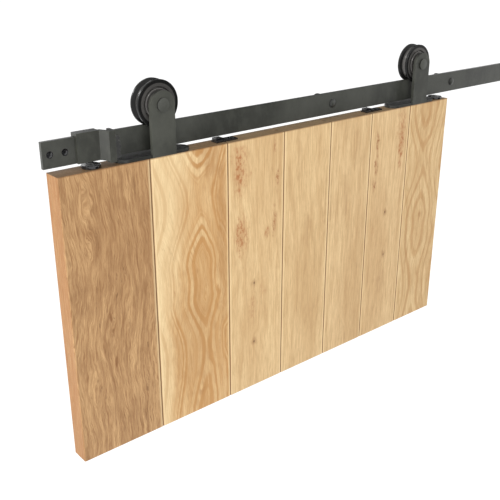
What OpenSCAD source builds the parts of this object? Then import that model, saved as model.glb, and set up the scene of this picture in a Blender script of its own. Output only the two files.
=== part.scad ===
// Sliding barn door hardware: a wall-mounted flat rail, two strap hangers with grooved wheels and a
// short plank door hanging from them.
// Frame: origin on the wall plane at the middle wall bolt, +X along the rail to the right,
// +Y into the wall, +Z up. Millimetres.

/* [Rail] */
// Overall length of the rail
rail_length = 1900; // [1200:10:2600]
// Height of the rail's flat face
rail_height = 40; // [30:1:60]
// Thickness of the rail bar
rail_thickness = 6; // [4:0.5:10]
// Number of wall bolts
bolt_count = 5; // [3:1:7]
// Distance between wall bolts
bolt_spacing = 365; // [250:5:450]
// Distance of the first small end hole from the rail's end
end_hole_inset = 12; // [9:1:20]
// Distance between the two small end holes
end_hole_pitch = 24; // [14:1:30]
// Radius of the small end holes
end_hole_radius = 5.5; // [3:0.5:6]

/* [Wall fixing] */
// Distance from the wall to the back of the rail
standoff_length = 36; // [20:1:60]
// Radius of the round standoffs
standoff_radius = 12.5; // [8:0.5:16]
// Radius of the rail bolts' shank
bolt_radius = 4; // [3:0.5:5]
// Radius of the rail bolts' head
bolt_head_radius = 8; // [6:0.5:12]
// Height of the rail bolts' domed head
bolt_head_height = 3.6; // [2:0.2:6]
// Radius of the tapped hole in each standoff's wall end
wall_hole_radius = 3.4; // [2.5:0.1:5]
// Depth of the tapped hole in each standoff's wall end
wall_hole_depth = 16; // [8:1:20]

/* [Door] */
// Distance from the rail's left end to the door's left edge
door_offset = 10; // [0:1:100]
// Widths of the planks from left to right
plank_widths = [156, 153, 128, 118, 113, 115, 123]; // [80:1:200]
// Thickness of the door
door_thickness = 35; // [25:1:50]
// Height of the door
door_height = 490; // [300:5:2200]
// Gap between the rail's bottom edge and the door's top
door_gap = 9; // [7:0.5:15]
// Gap between neighbouring planks
joint_gap = 0.4; // [0.2:0.1:1]
// Small bevel on the planks' long edges
plank_bevel = 1.4; // [0.4:0.1:3]
// Thickness of the tongue on each plank
tongue_thickness = 8; // [6:0.5:12]
// Length of the tongue on each plank
tongue_length = 7; // [4:0.5:12]

/* [Hangers] */
// Distance from the rail's left end to each hanger
hanger_offsets = [194, 821]; // [100:1:1800]
// Width of the strap
strap_width = 44; // [30:1:60]
// Thickness of the strap
strap_thickness = 6; // [4:0.5:10]
// Gap between the rail's front face and the strap
strap_gap = 14; // [10:0.5:20]
// Reach of the base plate to the left of the strap's middle
base_reach_left = 80; // [50:1:90]
// Reach of the base plate to the right of the strap's middle
base_reach_right = 55; // [45:1:90]
// Width of the base plate
base_width = 33; // [20:1:40]
// Thickness of the base plate
base_thickness = 5; // [3:0.5:6]
// Radius of the axle bolt
axle_radius = 5; // [4:0.5:8]
// Radius of the axle bolt's head
axle_head_radius = 10.5; // [8:0.5:14]
// Height of the axle bolt's head
axle_head_height = 3; // [2:0.2:6]

/* [Wheels] */
// Radius of the wheel's flanges
flange_radius = 37; // [28:0.5:45]
// Depth of the groove the rail runs in
groove_depth = 6; // [3:0.5:8]
// Width of the wheel across its flanges
wheel_width = 22; // [14:0.5:24]
// Radius of the raised hub ring
hub_radius = 23.5; // [18:0.5:26]
// Outer radius of the bearing
bearing_radius = 15; // [12:0.5:17]
// Width of the bearing
bearing_width = 9; // [7:0.5:12]

/* [Stops and guides] */
// Distance from the rail's end to the end stop
stop_inset = 53; // [48:1:120]
// Sheet thickness of the end stop
stop_sheet = 5; // [3:0.5:6]
// Height of the stop pad
pad_height = 32; // [20:1:36]
// Depth of the stop pad
pad_depth = 14; // [8:1:16]
// Radius of the anti-jump discs
disc_radius = 15; // [10:0.5:17]
// Height of the anti-jump discs
disc_height = 5; // [3:0.5:6]
// Distance from the rail's left end to each anti-jump disc
disc_offsets = [74, 893]; // [50:1:1800]
// Distance from the rail's left end to each anti-jump block
block_offsets = [304, 672]; // [100:1:1800]
// Length of the anti-jump blocks
block_length = 44; // [30:1:60]
// Radius of the wood screws
wood_screw_radius = 2.2; // [1.5:0.1:3]

/* [Hidden] */
$fn = 96;
cut = 0.5;

rail_left = -rail_length / 2;
rail_back = -standoff_length;
rail_front = rail_back - rail_thickness;
rail_middle = (rail_back + rail_front) / 2;
rail_top = rail_height / 2;
rail_bottom = -rail_height / 2;

strap_back = rail_front - strap_gap;
strap_front = strap_back - strap_thickness;

door_left = rail_left + door_offset;
door_top = rail_bottom - door_gap;
door_front = strap_front;
door_back = door_front + door_thickness;
door_middle = (door_front + door_back) / 2;
plank_count = len(plank_widths);
tongue_clearance = 0.2;

running_gap = 0.3;
tread_radius = flange_radius - groove_depth - running_gap;
axle_height = rail_top + tread_radius + running_gap;
wheel_front = rail_middle - wheel_width / 2;
wheel_back = rail_middle + wheel_width / 2;
groove_floor = rail_thickness + 1.6;
groove_mouth = rail_thickness + 8;
hub_rise = 1.5;
hub_recess_radius = bearing_radius + 2;
hub_recess_depth = (wheel_width - bearing_width) / 2 - 1.5;
bearing_front = rail_middle - bearing_width / 2;
bearing_back = rail_middle + bearing_width / 2;
inner_ring_radius = axle_radius + 3;
outer_ring_bore = bearing_radius - 3;
ball_pitch_radius = (inner_ring_radius + outer_ring_bore) / 2;
ball_radius = outer_ring_bore - ball_pitch_radius;
ball_count = 8;
shield_thickness = 0.8;
nut_across_flats = 17;
nut_height = 7;

base_front = door_front + 1;
base_middle = base_front + base_width / 2;
base_top = door_top + base_thickness;
base_screw_offsets = [-68, -40, 42];
screw_head_radius = 2 * wood_screw_radius;
screw_length = 32;

hook_clearance = 0.2;
end_screw_recess = 0.8;
end_screw_dish = 2.4;
stop_height = rail_top + hook_clearance + stop_sheet;
stop_face = 37;
stop_lean = 8;
stop_depth = 20;
stop_length = 56;
stop_drop = rail_bottom - 3;
stop_leg_gap = 2;
hook_lip_bottom = rail_bottom + 6;
grub_radius = 2.5;
pad_base = 5;
pad_rib = 3;
pad_nose = 4.4;
pad_peg_radius = 3;
pad_centre_height = -1;
block_width = 16;
block_base = 3;
block_tab_length = 14;
block_tab_width = 12;
block_height = 7.5;

black_steel = [0.24, 0.24, 0.23];
dark_wheel = [0.12, 0.12, 0.12];
bright_steel = [0.72, 0.72, 0.7];
black_rubber = [0.06, 0.06, 0.06];
black_nylon = [0.05, 0.05, 0.05];
oak = [0.83, 0.68, 0.47];

// ---- helpers ----

function bolt_x(i) = (i - (bolt_count - 1) / 2) * bolt_spacing;
function plank_start(i) = i == 0 ? door_left : plank_start(i - 1) + plank_widths[i - 1];
function hanger_x(side) = rail_left + hanger_offsets[side];
function disc_x(side) = rail_left + disc_offsets[side];
function block_x(side) = rail_left + block_offsets[side];
function cap_radius(r, h) = (r * r + h * h) / (2 * h);

// A bar along +Y from y_start: round, or with the given number of sides
module bar_y(r, y_start, length, sides = 0) {
    translate([0, y_start, 0])
        rotate([-90, 0, 0])
            cylinder(r = r, h = length, $fn = sides > 0 ? sides : $fn);
}

// A round tube along +Y from y_start
module tube_y(r_out, r_in, y_start, length) {
    difference() {
        bar_y(r_out, y_start, length);
        bar_y(r_in, y_start - cut, length + 2 * cut);
    }
}

// A flat plate drawn in X and Z, standing from y_start towards +Y
module plate_y(y_start, thickness) {
    translate([0, y_start + thickness, 0])
        rotate([90, 0, 0])
            linear_extrude(height = thickness)
                children();
}

// A low domed head that faces -Y, its flat side at y_seat
module domed_head(r, h, rim, y_seat) {
    dome = cap_radius(r, h - rim);
    translate([0, y_seat, 0])
        rotate([90, 0, 0])
            intersection() {
                cylinder(r = r, h = h);
                translate([0, 0, h - dome])
                    sphere(r = dome);
            }
}

// A profile drawn as [radius, depth] turned about the wheel axle, depth along +Y
module turned_y() {
    rotate([-90, 0, 0])
        rotate_extrude()
            children();
}

// ---- rail and wall fixing ----

module end_hole_places() {
    for (end = [0, 1])
        mirror([end, 0, 0])
            for (i = [0, 1])
                translate([rail_left + end_hole_inset + i * end_hole_pitch, 0, 0])
                    children();
}

module bolt_places() {
    for (i = [0 : bolt_count - 1])
        translate([bolt_x(i), 0, 0])
            children();
}

module rail() {
    color(black_steel)
        difference() {
            translate([rail_left, rail_front, rail_bottom])
                cube([rail_length, rail_thickness, rail_height]);
            bolt_places()
                bar_y(bolt_radius + 0.2, rail_front - cut, rail_thickness + 2 * cut);
            end_hole_places()
                bar_y(end_hole_radius, rail_front - cut, rail_thickness + 2 * cut);
        }
}

module standoffs() {
    color(black_steel)
        bolt_places()
            difference() {
                bar_y(standoff_radius, rail_back, standoff_length);
                bar_y(bolt_radius, rail_back - cut, 14 + cut);
                bar_y(wall_hole_radius, -wall_hole_depth, wall_hole_depth + cut);
            }
}

module rail_bolts() {
    color(black_steel)
        bolt_places()
            union() {
                domed_head(bolt_head_radius, bolt_head_height, 1, rail_front);
                bar_y(bolt_radius, rail_front - 1, rail_thickness + 13);
            }
}

module rail_end_screws() {
    color(black_steel)
        end_hole_places()
            difference() {
                bar_y(end_hole_radius, rail_front + end_screw_recess, rail_thickness - end_screw_recess);
                translate([0, rail_front + end_screw_recess - cut, 0])
                    turned_y()
                        polygon([[0, 0], [end_hole_radius - 0.5, 0], [2.6, end_screw_dish], [0, end_screw_dish]]);
                bar_y(2.2, rail_front, end_screw_recess + end_screw_dish + 1.4, 6);
            }
}

// ---- end stops ----

// The bent sheet seen from above: X from the stop's outer end, Y from the rail's front face
module stop_plan() {
    polygon([
        [0, -stop_sheet],
        [stop_face, -stop_sheet],
        [stop_face + stop_lean, -stop_depth],
        [stop_length, -stop_depth],
        [stop_length, -stop_leg_gap],
        [stop_length - stop_sheet, -stop_leg_gap],
        [stop_length - stop_sheet, stop_sheet - stop_depth],
        [stop_face + stop_lean + 3, stop_sheet - stop_depth],
        [stop_face + 3, 0],
        [0, 0]
    ]);
}

// The part of the bent sheet that reaches lower than the rail
module stop_plan_low() {
    difference() {
        stop_plan();
        translate([-cut, -stop_depth - cut])
            square([stop_face + stop_lean + cut, stop_depth + 2 * cut]);
    }
}

module stop_hook() {
    hook_back = rail_thickness + hook_clearance + stop_sheet;
    translate([0, -cut, rail_top + hook_clearance])
        cube([stop_face, hook_back + cut, stop_sheet]);
    difference() {
        translate([0, rail_thickness + hook_clearance, hook_lip_bottom])
            cube([stop_face, stop_sheet, stop_height - hook_lip_bottom]);
        for (x = [10, 27])
            translate([x, 0, 0])
                bar_y(grub_radius, rail_thickness - cut, 2 * stop_sheet);
    }
}

module end_stop() {
    translate([rail_left + stop_inset, rail_front, 0])
        difference() {
            union() {
                translate([0, 0, rail_bottom])
                    linear_extrude(height = stop_height - rail_bottom)
                        stop_plan();
                translate([0, 0, stop_drop])
                    linear_extrude(height = rail_bottom - stop_drop + cut)
                        stop_plan_low();
                stop_hook();
            }
            translate([stop_length - stop_sheet - cut, -stop_depth / 2 - 1, pad_centre_height])
                rotate([0, 90, 0])
                    cylinder(r = pad_peg_radius, h = stop_sheet + 2 * cut);
        }
}

module stop_pad() {
    rib_step = (pad_height - 2 * pad_rib) / 4;
    translate([rail_left + stop_inset + stop_length, rail_front - stop_depth / 2 - 1, pad_centre_height]) {
        translate([0, -pad_depth / 2, -pad_height / 2])
            cube([pad_base, pad_depth, pad_height]);
        for (i = [-2 : 2])
            intersection() {
                translate([pad_base, 0, i * rib_step])
                    bar_y(i == 0 ? pad_nose : pad_rib, -pad_depth / 2, pad_depth);
                translate([pad_base - cut, -pad_depth, -pad_height])
                    cube([pad_height, 2 * pad_depth, 2 * pad_height]);
            }
        translate([-stop_sheet - 1, 0, 0])
            rotate([0, 90, 0])
                cylinder(r = pad_peg_radius, h = stop_sheet + 1 + cut);
    }
}

module end_stop_left() {
    color(black_steel)
        end_stop();
}

module end_stop_right() {
    color(black_steel)
        mirror([1, 0, 0])
            end_stop();
}

module stop_pad_left() {
    color(black_rubber)
        stop_pad();
}

module stop_pad_right() {
    color(black_rubber)
        mirror([1, 0, 0])
            stop_pad();
}

module stop_grub_screws() {
    color(bright_steel)
        for (end = [0, 1])
            mirror([end, 0, 0])
                for (x = [10, 27])
                    translate([rail_left + stop_inset + x, 0, 0])
                        difference() {
                            bar_y(grub_radius, rail_back, stop_sheet + hook_clearance - 0.4);
                            bar_y(1.4, rail_back + 2.5, stop_sheet, 6);
                        }
}

// ---- door ----

module plank_plan(i) {
    x0 = plank_start(i) + (i > 0 ? joint_gap / 2 : 0);
    x1 = plank_start(i) + plank_widths[i] - (i < plank_count - 1 ? joint_gap / 2 : 0);
    groove = tongue_thickness / 2 + tongue_clearance;
    groove_end = x1 - tongue_length - tongue_clearance;
    polygon(concat(
        [[x0 + plank_bevel, door_front], [x1 - plank_bevel, door_front], [x1, door_front + plank_bevel]],
        i < plank_count - 1
            ? [[x1, door_middle - groove], [groove_end, door_middle - groove],
               [groove_end, door_middle + groove], [x1, door_middle + groove]]
            : [],
        [[x1, door_back - plank_bevel], [x1 - plank_bevel, door_back],
         [x0 + plank_bevel, door_back], [x0, door_back - plank_bevel]],
        i > 0
            ? [[x0, door_middle + tongue_thickness / 2], [x0 - tongue_length, door_middle + tongue_thickness / 2],
               [x0 - tongue_length, door_middle - tongue_thickness / 2], [x0, door_middle - tongue_thickness / 2]]
            : [],
        [[x0, door_front + plank_bevel]]
    ));
}

module plank(i) {
    color(oak)
        difference() {
            translate([0, 0, door_top - door_height])
                linear_extrude(height = door_height)
                    plank_plan(i);
            base_screw_places()
                screw_hole();
            disc_screw_places()
                screw_hole();
            block_screw_places()
                screw_hole();
        }
}

module screw_hole() {
    translate([0, 0, door_top - screw_length])
        cylinder(r = wood_screw_radius, h = screw_length + cut);
}

module plank_1() { plank(0); }
module plank_2() { plank(1); }
module plank_3() { plank(2); }
module plank_4() { plank(3); }
module plank_5() { plank(4); }
module plank_6() { plank(5); }
module plank_7() { plank(6); }

// ---- hangers ----

module strap(side) {
    color(black_steel)
        translate([hanger_x(side), 0, 0])
            difference() {
                plate_y(strap_front, strap_thickness)
                    union() {
                        translate([-strap_width / 2, door_top])
                            square([strap_width, axle_height - door_top]);
                        translate([0, axle_height])
                            circle(r = strap_width / 2);
                    }
                translate([0, 0, axle_height])
                    bar_y(axle_radius + 0.1, strap_front - cut, strap_thickness + 2 * cut);
            }
}

module strap_left() { strap(0); }
module strap_right() { strap(1); }

module base_plate_plan() {
    end_radius = base_width / 2;
    difference() {
        union() {
            translate([-base_reach_left + end_radius, -end_radius])
                square([base_reach_left + base_reach_right - base_width, base_width]);
            translate([-base_reach_left + end_radius, 0])
                circle(r = end_radius);
            translate([base_reach_right - end_radius, 0])
                circle(r = end_radius);
        }
        translate([-strap_width / 2 - 0.1, -end_radius - cut])
            square([strap_width + 0.2, strap_back - base_front + cut]);
    }
}

module base_plate(side) {
    color(black_steel)
        difference() {
            translate([hanger_x(side), base_middle, door_top])
                linear_extrude(height = base_thickness)
                    base_plate_plan();
            base_screw_places()
                wood_screw_space(base_top);
        }
}

module base_plate_left() { base_plate(0); }
module base_plate_right() { base_plate(1); }

module base_screw_places() {
    for (side = [0, 1])
        for (x = base_screw_offsets)
            translate([hanger_x(side) + x, base_middle, 0])
                children();
}

module disc_screw_places() {
    for (side = [0, 1])
        translate([disc_x(side), door_middle, 0])
            children();
}

module block_screw_places() {
    for (side = [0, 1])
        for (x = [24, 37])
            translate([block_x(side) + x, door_middle, 0])
                children();
}

// Countersunk wood screw whose head is flush at head_top
module wood_screw(head_top) {
    difference() {
        union() {
            translate([0, 0, head_top - screw_head_radius / 2 - 0.2])
                cylinder(r1 = wood_screw_radius, r2 = screw_head_radius, h = screw_head_radius / 2);
            translate([0, 0, head_top - 0.2])
                cylinder(r = screw_head_radius, h = 0.2);
            translate([0, 0, door_top - screw_length + 6])
                cylinder(r = wood_screw_radius, h = head_top - door_top + screw_length - 7);
            translate([0, 0, door_top - screw_length])
                cylinder(r1 = 0.3, r2 = wood_screw_radius, h = 6);
        }
        translate([0, 0, head_top - 1.6])
            cylinder(r = 1.5, h = 2);
    }
}

// The space cut for a countersunk wood screw
module wood_screw_space(head_top) {
    translate([0, 0, head_top - screw_head_radius / 2 - 0.2])
        cylinder(r1 = wood_screw_radius, r2 = screw_head_radius, h = screw_head_radius / 2);
    translate([0, 0, head_top - 0.2])
        cylinder(r = screw_head_radius, h = 1);
    translate([0, 0, door_top - cut])
        cylinder(r = wood_screw_radius, h = head_top - door_top);
}

module base_screws() {
    color(black_steel)
        base_screw_places()
            wood_screw(base_top);
}

module at_axle(side) {
    translate([hanger_x(side), 0, axle_height])
        children();
}

module axle_bolt(side) {
    shank_end = bearing_back + nut_height + 3;
    color(black_steel)
        at_axle(side)
            union() {
                domed_head(axle_head_radius, axle_head_height, 2.2, strap_front);
                bar_y(axle_radius, strap_front - 1, shank_end - strap_front + 1);
            }
}

module axle_bolt_left() { axle_bolt(0); }
module axle_bolt_right() { axle_bolt(1); }

module axle_nut(side) {
    color(bright_steel)
        at_axle(side)
            difference() {
                union() {
                    plate_y(bearing_back, nut_height)
                        circle(r = nut_across_flats / 2 / cos(30), $fn = 6);
                    bar_y(axle_radius + 2.6, bearing_back, nut_height + 1.4);
                }
                bar_y(axle_radius, bearing_back - cut, nut_height + 3);
            }
}

module axle_nut_left() { axle_nut(0); }
module axle_nut_right() { axle_nut(1); }

module axle_spacer(side) {
    color(bright_steel)
        at_axle(side)
            tube_y(inner_ring_radius, axle_radius, strap_back, bearing_front - strap_back);
}

module axle_spacer_left() { axle_spacer(0); }
module axle_spacer_right() { axle_spacer(1); }

module bearing_inner(side) {
    color(bright_steel)
        at_axle(side)
            difference() {
                tube_y(inner_ring_radius, axle_radius, bearing_front, bearing_width);
                translate([0, rail_middle, 0])
                    turned_y()
                        translate([ball_pitch_radius, 0])
                            circle(r = ball_radius + running_gap);
            }
}

module bearing_inner_left() { bearing_inner(0); }
module bearing_inner_right() { bearing_inner(1); }

// ---- wheels ----

// Half section of the wheel: [radius, distance from the front rim face]
module wheel_section() {
    floor_start = (wheel_width - groove_floor) / 2;
    mouth_start = (wheel_width - groove_mouth) / 2;
    edge = 0.8;
    ring = hub_radius + 2.5;
    polygon([
        [bearing_radius, wheel_width],
        [bearing_radius, hub_recess_depth],
        [hub_recess_radius, hub_recess_depth],
        [hub_recess_radius, -hub_rise + 0.5],
        [hub_recess_radius + 0.5, -hub_rise],
        [hub_radius - edge, -hub_rise],
        [hub_radius, -hub_rise + edge],
        [hub_radius, 3],
        [ring, 3],
        [ring, edge / 2],
        [ring + edge / 2, 0],
        [flange_radius - edge, 0],
        [flange_radius, edge],
        [flange_radius, mouth_start - 0.4],
        [flange_radius - 0.4, mouth_start],
        [tread_radius, floor_start],
        [tread_radius, wheel_width - floor_start],
        [flange_radius - 0.4, wheel_width - mouth_start],
        [flange_radius, wheel_width - mouth_start + 0.4],
        [flange_radius, wheel_width - edge],
        [flange_radius - edge, wheel_width],
        [ring + edge / 2, wheel_width],
        [ring, wheel_width - edge / 2],
        [ring, wheel_width - 2.5],
        [hub_radius - 3, wheel_width - 2.5],
        [hub_radius - 3, wheel_width]
    ]);
}

module wheel(side) {
    color(dark_wheel)
        at_axle(side)
            translate([0, wheel_front, 0])
                turned_y()
                    wheel_section();
}

module wheel_left() { wheel(0); }
module wheel_right() { wheel(1); }

module bearing_outer(side) {
    color(bright_steel)
        at_axle(side)
            tube_y(bearing_radius, outer_ring_bore, bearing_front, bearing_width);
}

module bearing_outer_left() { bearing_outer(0); }
module bearing_outer_right() { bearing_outer(1); }

module bearing_balls(side) {
    color(bright_steel)
        at_axle(side)
            for (i = [0 : ball_count - 1])
                rotate([0, i * 360 / ball_count, 0])
                    translate([ball_pitch_radius, rail_middle, 0])
                        sphere(r = ball_radius, $fn = 24);
}

module bearing_balls_left() { bearing_balls(0); }
module bearing_balls_right() { bearing_balls(1); }

module bearing_shields(side) {
    color(black_steel)
        at_axle(side)
            for (y = [bearing_front, bearing_back - shield_thickness])
                tube_y(outer_ring_bore, inner_ring_radius + running_gap, y, shield_thickness);
}

module bearing_shields_left() { bearing_shields(0); }
module bearing_shields_right() { bearing_shields(1); }

// ---- anti-jump pieces ----

module jump_disc(side) {
    edge = 1;
    color(black_nylon)
        translate([disc_x(side), door_middle, door_top])
            difference() {
                union() {
                    cylinder(r = disc_radius - edge, h = edge);
                    translate([0, 0, edge])
                        cylinder(r = disc_radius, h = disc_height - 2 * edge);
                    translate([0, 0, disc_height - edge])
                        cylinder(r1 = disc_radius, r2 = disc_radius - edge, h = edge);
                }
                translate([0, 0, -door_top])
                    wood_screw_space(door_top + disc_height);
            }
}

module jump_disc_left() { jump_disc(0); }
module jump_disc_right() { jump_disc(1); }

module jump_disc_screws() {
    color(black_steel)
        disc_screw_places()
            wood_screw(door_top + disc_height);
}

module jump_block(side) {
    color(black_nylon)
        difference() {
            translate([block_x(side), door_middle, door_top]) {
                translate([0, -block_width / 2, 0])
                    cube([block_length, block_width, block_base]);
                translate([0, -block_tab_width / 2, 0])
                    cube([block_tab_length, block_tab_width, block_height]);
            }
            block_screw_places()
                wood_screw_space(door_top + block_base);
        }
}

module jump_block_left() { jump_block(0); }
module jump_block_right() { jump_block(1); }

module jump_block_screws() {
    color(black_steel)
        block_screw_places()
            wood_screw(door_top + block_base);
}

rail();
standoffs();
rail_bolts();
rail_end_screws();
end_stop_left();
end_stop_right();
stop_pad_left();
stop_pad_right();
stop_grub_screws();
plank_1();
plank_2();
plank_3();
plank_4();
plank_5();
plank_6();
plank_7();
strap_left();
strap_right();
base_plate_left();
base_plate_right();
base_screws();
axle_bolt_left();
axle_bolt_right();
axle_nut_left();
axle_nut_right();
axle_spacer_left();
axle_spacer_right();
bearing_inner_left();
bearing_inner_right();
jump_disc_left();
jump_disc_right();
jump_disc_screws();
jump_block_left();
jump_block_right();
jump_block_screws();
wheel_left();
wheel_right();
bearing_outer_left();
bearing_outer_right();
bearing_balls_left();
bearing_balls_right();
bearing_shields_left();
bearing_shields_right();
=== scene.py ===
"""Looks, light and camera for the sliding barn door hardware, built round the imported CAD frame."""

import math

import bpy
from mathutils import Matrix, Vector

MM = 0.001

# Where things are in the CAD frame, in millimetres. The rail's middle is x = 0, the wall is y = 0.
DOOR_LEFT = -940
PLANK_WIDTHS = (156, 153, 128, 118, 113, 115, 123)
DOOR_TOP = -29
DOOR_FRONT = -62
WHEEL_X = {"wheel_left": -756, "wheel_right": -129}
AXLE_HEIGHT = 51

# The wheel's face is painted a paler, half-metallic grey as painted light that keeps the recess from
# going dark. It starts at the first radius and is full at the second, and inside it.
PAINTED_LIGHT_STARTS = 31.6
PAINTED_LIGHT_FULL = 30.9

# Places in a Mix node that is set to colours, where the names alone don't say which socket is meant.
MIX_FACTOR, MIX_A, MIX_B, MIX_RESULT = 0, 6, 7, 2

# The surface sockets that the materials set.
SOCKETS = {
    "base_color": "Base Color",
    "roughness": "Roughness",
    "metallic": "Metallic",
    "normal": "Normal",
    "specular": "Specular IOR Level",
    "coat": "Coat Weight",
    "coat_roughness": "Coat Roughness",
}


# ---- colours ----


def colour(value):
    """Three numbers as the four that a colour socket takes. Anything else is left as it is."""
    if isinstance(value, tuple) and len(value) == 3:
        return (*value, 1.0)
    return value


def toned(tint, share):
    """A colour times one number, or times a number for each channel."""
    shares = share if isinstance(share, tuple) else (share,) * 3
    return tuple(round(c * k, 5) for c, k in zip(tint, shares))


def mixed(a, b, share):
    """Colour a with a share of colour b in it."""
    return tuple((1 - share) * p + share * q for p, q in zip(a, b))


def to_linear(level):
    """One channel's display level, 0 to 255, as linear light."""
    bright = level / 255
    return round(((bright + 0.055) / 1.055) ** 2.4 if level > 10 else bright / 12.92, 5)


def srgb(*levels):
    return tuple(to_linear(level) for level in levels)


# ---- node helpers ----


class Shader:
    """One material's node tree, with short calls for the nodes that it needs."""

    def __init__(self, name):
        self.material = bpy.data.materials.new(name)
        self.material.use_nodes = True
        self.tree = self.material.node_tree
        self.tree.nodes.clear()
        output = self.node("ShaderNodeOutputMaterial")
        self.surface = self.node("ShaderNodeBsdfPrincipled")
        self.link(self.surface.outputs[0], output.inputs["Surface"])
        self.point = self.node("ShaderNodeTexCoord").outputs["Object"]

    def node(self, kind, **settings):
        made = self.tree.nodes.new(kind)
        for name, value in settings.items():
            setattr(made, name, value)
        return made

    def link(self, source, target):
        self.tree.links.new(source, target)

    def put(self, socket, value):
        """Links the value if it comes from a node, or else sets it."""
        if isinstance(value, bpy.types.NodeSocket):
            self.link(value, socket)
        else:
            socket.default_value = value

    def set(self, **values):
        """Sets the surface's sockets, by the names in SOCKETS."""
        for name, value in values.items():
            self.put(self.surface.inputs[SOCKETS[name]], colour(value))

    def math(self, operation, a, b=0.0):
        made = self.node("ShaderNodeMath", operation=operation)
        self.put(made.inputs[0], a)
        self.put(made.inputs[1], b)
        return made.outputs[0]

    def add(self, a, b):
        return self.math("ADD", a, b)

    def sub(self, a, b):
        return self.math("SUBTRACT", a, b)

    def mul(self, a, b):
        return self.math("MULTIPLY", a, b)

    def size_of(self, a):
        return self.math("ABSOLUTE", a)

    def length(self, a, b):
        """The length of the line that goes a one way and b at right angles to it."""
        return self.math("SQRT", self.add(self.mul(a, a), self.mul(b, b)))

    def axes(self, vector=None):
        """The X, Y and Z parts of a vector, which is the object's own coordinates if not given."""
        made = self.node("ShaderNodeSeparateXYZ")
        self.link(vector or self.point, made.inputs[0])
        return made.outputs

    def facing(self):
        """The X, Y and Z parts of the direction that the surface faces."""
        return self.axes(self.node("ShaderNodeNewGeometry").outputs["Normal"])

    def vector(self, x, y, z):
        made = self.node("ShaderNodeCombineXYZ")
        for socket, value in zip(made.inputs, (x, y, z)):
            self.put(socket, value)
        return made.outputs[0]

    def stretched(self, scales, offset=(0, 0, 0), vector=None):
        """The coordinates multiplied by scales and moved by offset."""
        made = self.node("ShaderNodeVectorMath", operation="MULTIPLY_ADD")
        self.link(vector or self.point, made.inputs[0])
        made.inputs[1].default_value = scales
        made.inputs[2].default_value = offset
        return made.outputs[0]

    def noise(self, vector, scale=1.0, detail=3.0, roughness=0.5, distortion=0.0):
        made = self.node("ShaderNodeTexNoise")
        self.link(vector, made.inputs["Vector"])
        made.inputs["Scale"].default_value = scale
        made.inputs["Detail"].default_value = detail
        made.inputs["Roughness"].default_value = roughness
        made.inputs["Distortion"].default_value = distortion
        return made.outputs["Fac"]

    def noise_along(self, value, scale, detail):
        """Noise that changes with one number only."""
        made = self.node("ShaderNodeTexNoise", noise_dimensions="1D")
        self.put(made.inputs["W"], value)
        made.inputs["Scale"].default_value = scale
        made.inputs["Detail"].default_value = detail
        return made.outputs["Fac"]

    def remap(self, value, low, high, to_low=0.0, to_high=1.0, curve="SMOOTHSTEP"):
        """to_low where the value is low and to_high where it is high. Low may be the larger number."""
        made = self.node("ShaderNodeMapRange", interpolation_type=curve)
        names = ("Value", "From Min", "From Max", "To Min", "To Max")
        for name, given in zip(names, (value, low, high, to_low, to_high)):
            self.put(made.inputs[name], given)
        return made.outputs[0]

    def blend(self, amount, a, b):
        """Colour a turning into colour b as amount goes from 0 to 1."""
        made = self.node("ShaderNodeMix", data_type="RGBA")
        self.put(made.inputs[MIX_FACTOR], amount)
        self.put(made.inputs[MIX_A], colour(a))
        self.put(made.inputs[MIX_B], colour(b))
        return made.outputs[MIX_RESULT]

    def lay(self, mask, strength, body, tint):
        """The tint laid over the body's colour, as strongly as strength says where the mask is 1."""
        return self.blend(self.mul(mask, strength), body, tint)

    def bump(self, height, strength, distance):
        made = self.node("ShaderNodeBump")
        made.inputs["Strength"].default_value = strength
        made.inputs["Distance"].default_value = distance
        self.link(height, made.inputs["Height"])
        return made.outputs[0]

    def edges(self, radius):
        """1 along convex and concave edges, 0 on flat faces."""
        flat, sharp = 0.02, 0.25
        rounded = self.node("ShaderNodeBevel", samples=4)
        rounded.inputs["Radius"].default_value = radius
        plain = self.node("ShaderNodeNewGeometry")
        turn = self.node("ShaderNodeVectorMath", operation="DOT_PRODUCT")
        self.link(rounded.outputs[0], turn.inputs[0])
        self.link(plain.outputs["Normal"], turn.inputs[1])
        return self.remap(self.sub(1.0, turn.outputs["Value"]), flat, sharp)


# ---- metal, rubber and plastic ----


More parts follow.
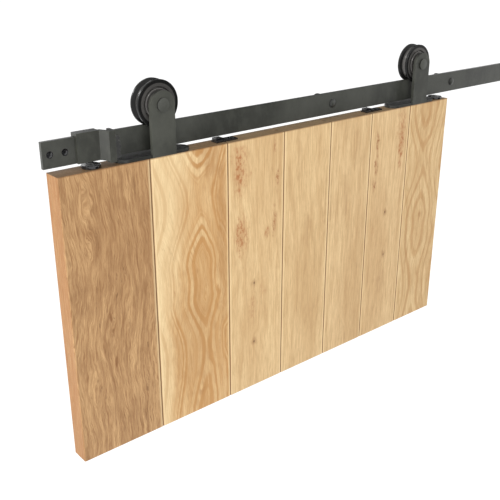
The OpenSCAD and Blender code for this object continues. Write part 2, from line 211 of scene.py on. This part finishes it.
def powder_coat(name, tint, roughness=0.42, seed=0.0, shaded_rim=False):
    """Satin powder coat: fine orange peel, faint clouding, and edges made a little lighter in patches,
    partly as rubbing and partly as a painted highlight.
    Faces that look up are darkened as painted shade, and a shaded rim darkens the slope round a bolt head
    as painted shade."""
    s = Shader(name)
    cloud = s.noise(s.stretched((9, 9, 9), (seed, 0, 0)), detail=4)
    mottle = s.noise(s.stretched((70, 70, 45), (0, seed, 0)), detail=5, roughness=0.65)
    grain = s.noise(s.point, scale=900, detail=2)
    speck = s.remap(s.noise(s.point, scale=2600, detail=1), 0.62, 0.74)
    # Paler edges in patches: partly wear, partly a painted highlight.
    rubbed_and_highlit = s.mul(s.edges(1.2 * MM), s.remap(s.noise(s.point, scale=60, detail=4), 0.3, 0.7))
    _, front, up = s.facing()
    # Painted shade: faces that look up are darkened.
    top_shade = s.mul(s.remap(up, 0.55, 0.9), s.remap(cloud, 0.2, 0.8, 1.0, 0.75))

    body = s.blend(s.remap(cloud, 0.35, 0.65), toned(tint, 0.72), toned(tint, 1.3))
    body = s.lay(s.remap(mottle, 0.42, 0.7), 0.45, body, toned(tint, 1.6))
    body = s.lay(s.remap(mottle, 0.45, 0.25), 0.4, body, toned(tint, 0.55))
    body = s.lay(speck, 0.35, body, toned(tint, 1.9))
    body = s.lay(rubbed_and_highlit, 0.6, body, toned(tint, 2.8))
    body = s.lay(top_shade, 0.85, body, toned(tint, 0.15))
    # Painted shade: the slope round a bolt head is darkened.
    if shaded_rim:
        body = s.lay(s.remap(front, -0.97, -0.86), 0.92, body, (0.004, 0.004, 0.004))

    polish = s.add(s.mul(cloud, 0.6), s.mul(grain, 0.4))
    s.set(
        base_color=body,
        roughness=s.remap(polish, 0.3, 0.7, roughness - 0.06, roughness + 0.1),
        normal=s.bump(grain, 0.25, 0.25 * MM),
        specular=0.5,
    )
    return s.material


def turned_black(name, centre_x):
    """Glossy black wheel: fine turning marks round the axle, edges painted paler as a highlight, and a
    paler half-metallic grey painted from the tread inwards as light in the recess.
    """
    s = Shader(name)
    x, _, z = s.axes()
    radius = s.length(s.sub(x, centre_x * MM), s.sub(z, AXLE_HEIGHT * MM))
    rings = s.noise_along(radius, 2400, 3)
    blotch = s.noise(s.stretched((40, 40, 40), (0, 2, 0)), detail=4)
    # Painted light: a paler, half-metallic grey inside the tread keeps the recess from going dark.
    painted_light = s.mul(s.remap(radius, PAINTED_LIGHT_STARTS * MM, PAINTED_LIGHT_FULL * MM), 0.5)

    body = s.blend(s.remap(rings, 0.35, 0.65), (0.007, 0.007, 0.0068), (0.013, 0.013, 0.0125))
    # Painted highlight: paler edges.
    body = s.lay(s.edges(0.8 * MM), 0.35, body, (0.16, 0.16, 0.155))
    body = s.blend(painted_light, body, (0.2, 0.19, 0.18))

    polish = s.add(s.mul(blotch, 0.5), s.mul(rings, 0.5))
    s.set(
        base_color=body,
        metallic=s.mul(painted_light, 0.9),
        roughness=s.remap(polish, 0.3, 0.7, 0.12, 0.24),
        normal=s.bump(rings, 0.06, 0.05 * MM),
        specular=0.2,
    )
    return s.material


def plated_steel(name, tint=(0.62, 0.61, 0.57)):
    """Zinc plated steel: faint brushing, spangle and a few dull spots."""
    s = Shader(name)
    brushed = s.noise(s.stretched((1500, 60, 1500)), detail=3)
    spangle = s.noise(s.point, scale=260, detail=3)
    dull = s.remap(s.noise(s.point, scale=90, detail=4), 0.55, 0.72)

    body = s.blend(spangle, toned(tint, 0.78), tint)
    body = s.lay(dull, 0.4, body, toned(tint, 0.5))

    polish = s.add(s.mul(brushed, 0.5), s.mul(dull, 0.5))
    s.set(
        base_color=body,
        metallic=1.0,
        roughness=s.remap(polish, 0.1, 0.8, 0.24, 0.5),
        normal=s.bump(brushed, 0.12, 0.06 * MM),
    )
    return s.material


def rubber(name):
    """Moulded black rubber: fine grain, paler dust, and edges made paler in patches, partly as scuffing
    and partly as a painted highlight.
    """
    s = Shader(name)
    grain = s.noise(s.point, scale=1400, detail=3)
    dust = s.remap(s.noise(s.point, scale=130, detail=5), 0.42, 0.75)
    # Paler edges in patches: partly scuffing, partly a painted highlight.
    scuffed_and_highlit = s.mul(s.edges(0.9 * MM), s.remap(s.noise(s.point, scale=300, detail=3), 0.3, 0.7))

    body = s.lay(dust, 0.5, (0.022, 0.022, 0.021), (0.07, 0.069, 0.065))
    body = s.lay(scuffed_and_highlit, 0.8, body, (0.26, 0.256, 0.245))

    s.set(base_color=body, roughness=s.remap(dust, 0, 1, 0.5, 0.75), normal=s.bump(grain, 0.3, 0.2 * MM))
    return s.material


def black_nylon(name):
    """Glossy black moulded nylon with hairline scratches."""
    s = Shader(name)
    scratch_noise = s.noise(s.stretched((300, 2600, 300)), detail=4, distortion=0.6)
    scratches = s.remap(scratch_noise, 0.58, 0.7)
    wave = s.noise(s.point, scale=240, detail=2)
    height = s.add(wave, s.mul(scratches, 0.3))
    s.set(
        base_color=s.lay(scratches, 0.5, (0.008, 0.008, 0.009), (0.035, 0.035, 0.036)),
        roughness=s.remap(scratches, 0, 1, 0.09, 0.28),
        normal=s.bump(height, 0.12, 0.12 * MM),
        coat=0.5,
        coat_roughness=0.05,
    )
    return s.material


# ---- wood ----


class Look:
    """One plank's look. Lengths are in millimetres: x from the plank's middle, z down from the door's
    top. Each plank has its own light and dark wood colours, and its own heart line, which is
    (x, depth behind the face, depth swing, height of one figure, z of its first loop)."""

    bands = 22  # growth rings: how closely they lie
    rings = 0.25  # growth rings: how dark they are
    point = 2.0  # growth rings: 2 makes round arches, nearer 1 makes pointed ones
    waviness = 0.4  # how far the grain wanders
    fibre = 0.5  # how dark the fibres are
    choppy = 1.0  # how short the fibres are
    patchy = 0.35  # how dark the patches in the grain are
    flecks = 0.35  # how dark the short flecks are
    sapwood = None  # width of the pale left strip at the door's top and 300 mm down, if there is one
    marks = ()  # stains, each (x, z, half width, half height, redness, strength)
    knots = ()  # each (x, z, size)

    def __init__(self, **values):
        self.__dict__.update(values)


PLANKS = (
    Look(
        light=srgb(224, 182, 131), dark=srgb(148, 102, 61), heart=(-190, 110, 14, 420, 120),
        bands=26, rings=0.35, waviness=1.15, fibre=0.7, choppy=2.2, patchy=0.55, flecks=1.0,
        marks=(
            (-10, 245, 3, 12, 0.1, 0.85), (-6, 325, 3, 13, 0.1, 0.85), (-58, 190, 20, 60, 0.0, 0.3),
            (10, 60, 30, 18, 0.1, 0.15), (30, 430, 24, 40, 0.0, 0.15),
        ),
    ),
    Look(
        light=srgb(236, 207, 160), dark=srgb(184, 132, 76), heart=(19, 20, 27, 292, 232),
        rings=0.9, point=1.35, waviness=0.75, fibre=0.45, sapwood=(76, 24),
        marks=(
            (8, 212, 5, 9, 0.15, 0.5), (10, 452, 6, 9, 0.15, 0.5), (-4, 340, 62, 150, 0.0, 0.22),
            (40, 15, 30, 50, 0.1, 0.3), (62, 200, 14, 160, 0.0, 0.3),
        ),
    ),
    Look(
        light=srgb(232, 202, 155), dark=srgb(186, 143, 95), heart=(-210, 120, 8, 500, 260),
        marks=(
            (-36, 48, 22, 60, 0.9, 0.5), (-40, 60, 9, 44, 0.9, 0.75), (-34, 168, 19, 46, 0.9, 0.5),
            (-38, 172, 10, 40, 0.9, 0.75), (42, 20, 6, 22, 0.6, 0.6), (48, 82, 6, 26, 0.6, 0.9),
            (42, 160, 6, 32, 0.6, 0.85), (24, 180, 7, 14, 0.9, 0.7), (-6, 272, 7, 10, 0.1, 0.5),
            (-6, 394, 7, 10, 0.1, 0.5), (-10, 320, 10, 40, 0.8, 0.3), (14, 290, 12, 20, 0.9, 0.2),
        ),
        knots=((-6, 272, 7), (-6, 394, 7)),
    ),
    Look(
        light=srgb(231, 200, 153), dark=srgb(183, 142, 95), heart=(-160, 150, 10, 600, 300),
        bands=20, rings=0.22, waviness=0.3, fibre=0.55, flecks=0.3,
        marks=((2, 200, 12, 44, 0.2, 0.25), (-20, 60, 8, 60, 0.1, 0.2), (50, 150, 3, 80, 0.1, 0.4)),
    ),
    Look(
        light=srgb(230, 199, 153), dark=srgb(182, 141, 95), heart=(190, 140, 12, 560, 250),
        bands=20, rings=0.22, waviness=0.3, fibre=0.55, flecks=0.3,
        marks=(
            (-52, 170, 4, 80, 0.0, 0.5), (-8, 150, 14, 60, 0.2, 0.25), (20, 70, 10, 50, 0.1, 0.15),
        ),
    ),
    Look(
        light=srgb(231, 200, 154), dark=srgb(184, 142, 96), heart=(210, 110, 10, 520, 240),
        rings=0.28,
        marks=(
            (-38, 60, 6, 24, 0.5, 0.8), (-38, 110, 6, 26, 0.5, 0.8), (-40, 150, 6, 20, 0.5, 0.8),
            (34, 50, 16, 60, 0.9, 0.45), (36, 80, 9, 60, 0.9, 0.85), (0, 215, 7, 10, 0.1, 0.55),
            (4, 312, 7, 10, 0.1, 0.5), (0, 370, 12, 50, 0.1, 0.25), (-34, 250, 5, 12, 0.9, 0.5),
        ),
        knots=((0, 215, 7), (4, 312, 6)),
    ),
    Look(
        light=srgb(230, 201, 155), dark=srgb(180, 132, 80), heart=(-4, 20, 24, 290, 275),
        rings=0.55, point=1.3, waviness=0.6, flecks=0.3,
        marks=((-2, 246, 5, 8, 0.15, 0.45), (-40, 300, 8, 90, 0.0, 0.2)),
    ),
)

# The first plank is darker than the rest.
FIRST_PLANK_TONE = (0.80, 0.80, 0.78)
WOOD_TONE = (0.94, 0.95, 0.93)

PALE_SAPWOOD = srgb(240, 218, 174)
HEARTWOOD = srgb(196, 150, 96)
BROWN_MARK = srgb(112, 74, 42)
RED_MARK = srgb(166, 102, 58)
KNOT_EYE = srgb(84, 56, 36)
# Painted highlight on the eased plank edges.
EDGE_HIGHLIGHT = srgb(240, 212, 166)
# Dark joints: partly dirt, partly painted shade.
JOINT_DIRT_AND_SHADE = srgb(92, 60, 34)
SAWN_SIDE = srgb(150, 104, 60)
END_GRAIN = srgb(84, 66, 45)
TOP_RIM = srgb(110, 76, 48)

# A mark redder than this is drawn as speckles in a fainter halo.
SPECKLED_REDNESS = 0.25
HALO_STRENGTH = 0.45


class PlankWood(Shader):
    """Solid oiled wood for one plank. The growth rings are cylinders round a wavering heart line, so
    they make arches on the faces and arcs on the ends, as sawn planks do."""

    def __init__(self, index):
        super().__init__(f"plank_wood_{index + 1}")
        self.index = index
        self.look = PLANKS[index]
        self.seed = 7.3 * (index + 1)
        self.half_width = PLANK_WIDTHS[index] / 2
        self.tone = FIRST_PLANK_TONE if index == 0 else WOOD_TONE
        self.light = toned(self.look.light, self.tone)
        self.dark = toned(self.look.dark, self.tone)
        middle = DOOR_LEFT + sum(PLANK_WIDTHS[:index]) + self.half_width
        x, y, z = self.axes()
        self.across = self.sub(x, middle * MM)
        self.behind = self.sub(y, DOOR_FRONT * MM)
        self.down = self.sub(DOOR_TOP * MM, z)
        self.bend_grain()
        self.measure_rings()
        self.draw_grain()
        self.paint()

    def wobble(self, scales, offset, detail):
        """Noise between about -0.5 and 0.5."""
        return self.sub(self.noise(self.stretched(scales, offset), detail=detail), 0.5)

    def along_grain(self, scales, offset, detail, roughness=0.5):
        """Noise that follows the bent grain."""
        place = self.stretched(scales, offset, self.grain_point)
        return self.noise(place, detail=detail, roughness=roughness)

    def oval(self, x, z, half_width, half_height, ragged=0.0):
        """1 in the middle of a soft oval at x, z and 0 outside it. Lengths are in millimetres."""
        u = self.mul(self.sub(self.across, x * MM), 1 / (half_width * MM))
        v = self.mul(self.sub(self.down, z * MM), 1 / (half_height * MM))
        return self.remap(self.add(self.length(u, v), ragged), 1.15, 0.2)

    def bend_grain(self):
        """Slow wandering of the grain, with ripples and small curls in it."""
        seed, waviness = self.seed, self.look.waviness
        self.wander = self.wobble((9, 9, 3.2), (seed, seed, seed), 2)
        self.ripple = self.wobble((34, 34, 12), (seed, 0, seed), 3)
        curl = self.wobble((120, 120, 46), (0, seed, seed), 2)
        shift = self.add(self.mul(self.wander, 0.05 * waviness), self.mul(self.ripple, 0.018 * waviness))
        self.shift = self.add(shift, self.mul(curl, 0.004 * waviness))
        self.bent = self.add(self.across, self.shift)

    def measure_rings(self):
        """The distance from the heart line, which gives the growth rings. Knots push the rings aside."""
        heart_x, depth, swing, figure, loop_at = self.look.heart
        phase = self.mul(self.sub(self.down, loop_at * MM), 2 * math.pi / (figure * MM))
        reach = self.remap(self.down, 250 * MM, 400 * MM, swing * MM, 0.5 * swing * MM)
        swell = self.mul(self.math("COSINE", phase), reach)
        to_heart = self.sub(self.add(self.behind, depth * MM), swell)
        ring = self.ring_distance(self.sub(self.bent, heart_x * MM), to_heart)
        ring = self.add(ring, self.add(self.mul(self.ripple, 0.012), self.mul(self.wander, 0.03)))
        for x, z, size in self.look.knots:
            push = self.oval(x, z, 2.6 * size, 4.5 * size)
            ring = self.add(ring, self.mul(push, 1.6 * size * MM))
        self.ring = ring
        grain_x = self.add(self.bent, self.mul(to_heart, 0.3))
        self.grain_point = self.vector(grain_x, self.behind, self.down)

    def ring_distance(self, a, b):
        """Distance from the heart line, in which a power below 2 draws the rings' arches to a point."""
        power = self.look.point
        spread = self.add(
            self.math("POWER", self.size_of(a), power), self.math("POWER", self.size_of(b), power)
        )
        return self.math("POWER", spread, 1 / power)

    def draw_grain(self):
        """The noises and masks that colour and roughness are made from."""
        seed, bands = self.seed, self.look.bands
        self.late = self.remap(self.noise_along(self.add(self.ring, seed), bands * 4, 3), 0.44, 0.64)
        broad = self.noise_along(self.add(self.ring, 3.1 * seed), bands * 1.3, 1)
        self.broad = self.remap(broad, 0.35, 0.68)
        self.fibre = self.along_grain((420, 420, 13 * self.look.choppy), (seed, 0, 0), 5, 0.62)
        self.fine = self.along_grain((1500, 1500, 42), (0, seed, 0), 3, 0.6)
        self.pores = self.remap(self.along_grain((1150, 1150, 62), (0, 0, seed), 2), 0.63, 0.74)
        self.patches = self.along_grain((90, 90, 11), (2 * seed, 0, seed), 6, 0.7)
        short = self.remap(self.along_grain((260, 260, 34), (seed, seed, 0), 3, 0.6), 0.6, 0.72)
        cluster = self.noise(self.stretched((22, 22, 7), (0, seed, 0)), detail=2)
        self.flecks = self.mul(short, self.remap(cluster, 0.42, 0.62))

    def paint(self):
        body = self.paint_grain()
        if self.look.sapwood:
            body = self.paint_sapwood(body)
        body = self.lay(self.flecks, self.look.flecks * 0.8, body, toned(self.dark, 0.6))
        body = self.paint_marks(body)
        body = self.lay(self.pores, 0.45, body, toned(self.dark, 0.55))
        body = self.paint_edges(body)
        body = self.paint_cuts(body)

        height = self.add(self.mul(self.fibre, 0.6), self.mul(self.fine, 0.4))
        height = self.sub(height, self.mul(self.pores, 0.7))
        height = self.sub(height, self.mul(self.late, 0.15))
        self.set(
            base_color=body,
            roughness=self.remap(self.fibre, 0.3, 0.7, 0.5, 0.64),
            normal=self.bump(height, 0.35, 0.25 * MM),
            specular=0.35,
        )

    def paint_grain(self):
        """Growth rings, fibres and patches, from the plank's light and dark wood."""
        look, light, dark = self.look, self.light, self.dark
        cloud = self.noise(self.stretched((14, 14, 3.0), (0, self.seed, 2 * self.seed)), detail=3)
        body = self.lay(self.late, look.rings, light, dark)
        body = self.lay(self.broad, 0.5 * look.rings, body, dark)
        body = self.lay(self.remap(self.fibre, 0.42, 0.68), look.fibre, body, dark)
        body = self.lay(self.remap(cloud, 0.4, 0.68), 0.45, body, mixed(dark, light, 0.15))
        body = self.lay(self.remap(self.patches, 0.45, 0.68), look.patchy, body, toned(dark, 0.9))
        body = self.lay(self.remap(self.patches, 0.45, 0.28), 0.5, body, toned(light, 1.08))
        return self.lay(self.remap(self.fine, 0.42, 0.66), 0.4, body, toned(dark, 0.75))

    def paint_sapwood(self, body):
        """A pale strip down the plank's left edge, and darker heartwood beyond it."""
        top, low = ((width - self.half_width) * MM for width in self.look.sapwood)
        boundary = self.remap(self.down, 0.0, 300 * MM, top, low, curve="LINEAR")
        beyond = self.sub(self.add(self.across, self.mul(self.shift, 1.1)), boundary)
        pale = self.remap(beyond, 26 * MM, -22 * MM)
        body = self.lay(pale, 0.42, body, toned(PALE_SAPWOOD, self.tone))
        heartwood = self.mul(
            self.remap(beyond, -10 * MM, 30 * MM), self.remap(self.down, 60 * MM, 200 * MM)
        )
        return self.lay(heartwood, 0.3, body, toned(HEARTWOOD, self.tone))

    def paint_marks(self, body):
        """Stains, reddish speckled patches and the knots' dark eyes."""
        ragged = self.mul(self.wobble((150, 150, 60), (self.seed, 0, 0), 4), 1.9)
        dots = self.along_grain((230, 230, 120), (self.seed, 0, self.seed), 3, 0.6)
        speckle = self.remap(dots, 0.46, 0.62)
        for x, z, half_width, half_height, redness, strength in self.look.marks:
            mask = self.oval(x, z, half_width, half_height, ragged)
            tint = mixed(BROWN_MARK, RED_MARK, redness)
            speckled = redness > SPECKLED_REDNESS
            halo = HALO_STRENGTH if speckled else 1.0
            body = self.lay(mask, halo * strength, body, mixed(tint, self.dark, 0.5))
            if speckled:
                body = self.lay(self.mul(mask, speckle), strength, body, tint)
        for x, z, size in self.look.knots:
            eye = self.oval(x, z, 0.32 * size, 0.5 * size, self.mul(ragged, 0.5))
            body = self.lay(eye, 0.85, body, KNOT_EYE)
        return body

    def paint_edges(self, body):
        """Eased front edges painted pale as a highlight, and dark joints between planks, partly dirt and
        partly painted shade.
        """
        half = self.half_width * MM
        if self.index == 0:
            to_joint = self.sub(half, self.across)
        elif self.index == len(PLANK_WIDTHS) - 1:
            to_joint = self.add(self.across, half)
        else:
            to_joint = self.sub(half, self.size_of(self.across))
        # Painted highlight: the eased edges are painted pale.
        painted_light = self.mul(
            self.remap(to_joint, 6.0 * MM, 2.6 * MM), self.remap(to_joint, 1.2 * MM, 2.0 * MM)
        )
        body = self.lay(painted_light, 0.6, body, toned(EDGE_HIGHLIGHT, self.tone))
        # Dark joints: partly dirt, partly painted shade in the groove.
        dirt_and_shade = self.mul(
            self.remap(to_joint, 1.7 * MM, 0.8 * MM), self.remap(self.behind, 40 * MM, 30 * MM)
        )
        return self.lay(dirt_and_shade, 0.7, body, JOINT_DIRT_AND_SHADE)

    def paint_cuts(self, body):
        """Streaked sawn sides, dark end grain and a dark line along the top front edge."""
        right, _, up = self.facing()
        streaks = self.noise(self.stretched((0, 620, 8), (0, self.seed, 0)), detail=4, roughness=0.65)
        on_side = self.remap(self.size_of(right), 0.6, 0.9)
        body = self.blend(self.mul(on_side, self.remap(streaks, 0.36, 0.6, 0.3, 1.0)), body, SAWN_SIDE)
        on_end = self.remap(self.size_of(up), 0.5, 0.85)
        body = self.lay(on_end, 0.8, body, END_GRAIN)
        rim = self.mul(
            self.remap(self.down, 2.6 * MM, 0.4 * MM), self.remap(self.behind, 2.0 * MM, 0.5 * MM)
        )
        return self.lay(rim, 0.6, body, TOP_RIM)


# ---- dressing the CAD nodes ----


def wear(obj, material):
    obj.data.materials.clear()
    obj.data.materials.append(material)


def ease_edges(obj, width):
    bevel = obj.modifiers.new("eased_edges", "BEVEL")
    bevel.width = width
    bevel.segments = 2
    bevel.limit_method = "ANGLE"
    bevel.angle_limit = math.radians(35)
    bevel.use_clamp_overlap = True
    bevel.harden_normals = True


def hardware_looks():
    """The start of a node's name, its material, and how far its edges are eased, in millimetres.
    The first row that fits a node is used, so the last row takes all that is left."""
    steel = powder_coat("black_powder_coat", srgb(56, 57, 51))
    rail_steel = powder_coat("rail_powder_coat", srgb(54, 55, 50), 0.38, 4.0)
    # Painted shade: the base plates get a darker copy of the powder coat, for the shade under the rail.
    shaded_plate_steel = powder_coat("plate_powder_coat_shaded", srgb(34, 35, 32), 0.36, 9.0)
    bolts = powder_coat("bolt_powder_coat", srgb(58, 59, 54), 0.34, 2.0, shaded_rim=True)
    bright = plated_steel("zinc_plated_steel")
    pad = rubber("black_rubber")
    nylon = black_nylon("black_nylon")
    return (
        ("rail_bolts", bolts, 0),
        ("rail_end_screws", nylon, 0),
        ("rail", rail_steel, 0.5),
        ("standoffs", steel, 0),
        ("end_stop_", steel, 0.6),
        ("stop_pad_", pad, 0.5),
        ("strap_", steel, 0.6),
        ("base_plate_", shaded_plate_steel, 0.6),
        ("base_screws", steel, 0),
        ("axle_bolt_", bolts, 0.4),
        ("bearing_shields_", steel, 0),
        ("bearing_outer_", steel, 0),
        ("jump_disc_screws", steel, 0),
        ("jump_block_screws", steel, 0),
        ("jump_", nylon, 0.5),
        ("", bright, 0),
    )


def dress(nodes):
    looks = hardware_looks()
    for name, obj in nodes.items():
        if name.startswith("plank_"):
            wear(obj, PlankWood(int(name.removeprefix("plank_")) - 1).material)
        elif name in WHEEL_X:
            wear(obj, turned_black(f"turned_{name}", WHEEL_X[name]))
        else:
            _, material, eased = next(row for row in looks if name.startswith(row[0]))
            wear(obj, material)
            if eased:
                ease_edges(obj, eased * MM)


# ---- stage, light and camera: places and sizes in metres ----

FLOOR_HEIGHT = -2.15
FLOOR_HALF = 80.0

WORLD_STRENGTH = 1.12
LIGHTS_AIM = (-0.4, -0.05, -0.1)
# Each light's name, place, width, height and power.
LIGHTS = (
    ("key", (-2.6, -3.0, 2.6), 1.6, 1.6, 46),
    ("side", (-3.4, -0.6, 0.4), 0.14, 2.0, 44),
    ("back_strip", (-1.9, 2.4, 1.3), 0.2, 1.6, 18),
)

CARDS_AIM = (-0.5, -0.05, 0.0)
# Each dark card's name, place and size.
CARDS = (
    ("dark_card_front", (0.75, -1.75, -0.75), 1.7),
    ("dark_card_back", (1.4, 2.2, 1.25), 2.1),
)

CAMERA_PLACE = (-1.3962, -1.0292, 0.2847)
CAMERA_YAW = math.radians(40.06)
CAMERA_PITCH = math.radians(22.28)
# The sensor's width and the lens are in millimetres.
SENSOR_WIDTH = 36.0
LENS = 54.72


def floor_material():
    s = Shader("pale_floor")
    mottle = s.noise(s.point, scale=1.5, detail=3)
    s.set(base_color=s.blend(mottle, (0.97, 0.97, 0.97), (0.99, 0.99, 0.99)), roughness=0.9, specular=0.1)
    return s.material


def card_material(name):
    s = Shader(name)
    s.set(base_color=(0.004, 0.004, 0.004), roughness=0.95)
    return s.material


def flat_square(name, half, height, material):
    mesh = bpy.data.meshes.new(name)
    points = [(-half, -half, height), (half, -half, height), (half, half, height), (-half, half, height)]
    mesh.from_pydata(points, [], [(0, 1, 2, 3)])
    mesh.materials.append(material)
    obj = bpy.data.objects.new(name, mesh)
    bpy.context.scene.collection.objects.link(obj)
    return obj


def turn_to(obj, target, axis):
    """Turns the object where it stands, so that its given axis points at the target."""
    obj.rotation_mode = "QUATERNION"
    obj.rotation_quaternion = (Vector(target) - obj.location).to_track_quat(axis, "Y")


def make_floor():
    floor = flat_square("floor", FLOOR_HALF, FLOOR_HEIGHT, floor_material())


def make_card(name, place, size):
    """A dark card beside the set, which gives glossy black parts something dark to reflect."""
    card = flat_square(name, size / 2, 0, card_material(name))
    card.location = place
    turn_to(card, CARDS_AIM, "Z")
    card.visible_camera = False


def area_light(name, place, width, height, power):
    data = bpy.data.lights.new(name, "AREA")
    data.shape = "RECTANGLE"
    data.size = width
    data.size_y = height
    data.energy = power
    lamp = bpy.data.objects.new(name, data)
    lamp.location = place
    turn_to(lamp, LIGHTS_AIM, "-Z")
    bpy.context.scene.collection.objects.link(lamp)


def light_studio():
    world = bpy.data.worlds.new("studio")
    world.use_nodes = True
    background = world.node_tree.nodes["Background"]
    background.inputs["Strength"].default_value = WORLD_STRENGTH
    background.inputs["Color"].default_value = (1.0, 1.0, 1.0, 1.0)
    bpy.context.scene.world = world
    for light in LIGHTS:
        area_light(*light)
    for card in CARDS:
        make_card(*card)
    bpy.context.scene.view_settings.view_transform = "Standard"
    bpy.context.scene.view_settings.look = "None"


def make_camera():
    data = bpy.data.cameras.new("camera")
    data.sensor_width = SENSOR_WIDTH
    data.lens = LENS
    data.clip_start, data.clip_end = 0.05, 200.0
    camera = bpy.data.objects.new("camera", data)
    camera.location = CAMERA_PLACE
    level = math.cos(CAMERA_PITCH)
    aim = Vector((math.sin(CAMERA_YAW) * level, math.cos(CAMERA_YAW) * level, -math.sin(CAMERA_PITCH)))
    camera.rotation_mode = "QUATERNION"
    camera.rotation_quaternion = aim.to_track_quat("-Z", "Y")
    bpy.context.scene.collection.objects.link(camera)
    bpy.context.scene.camera = camera


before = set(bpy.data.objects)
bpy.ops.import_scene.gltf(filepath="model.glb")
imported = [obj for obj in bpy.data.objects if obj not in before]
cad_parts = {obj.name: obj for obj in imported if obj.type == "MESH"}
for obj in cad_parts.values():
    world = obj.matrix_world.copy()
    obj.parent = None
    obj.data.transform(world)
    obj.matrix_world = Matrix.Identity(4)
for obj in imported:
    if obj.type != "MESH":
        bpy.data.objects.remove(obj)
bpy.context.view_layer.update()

make_camera()
dress(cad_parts)
make_floor()
light_studio()

bpy.context.view_layer.update()
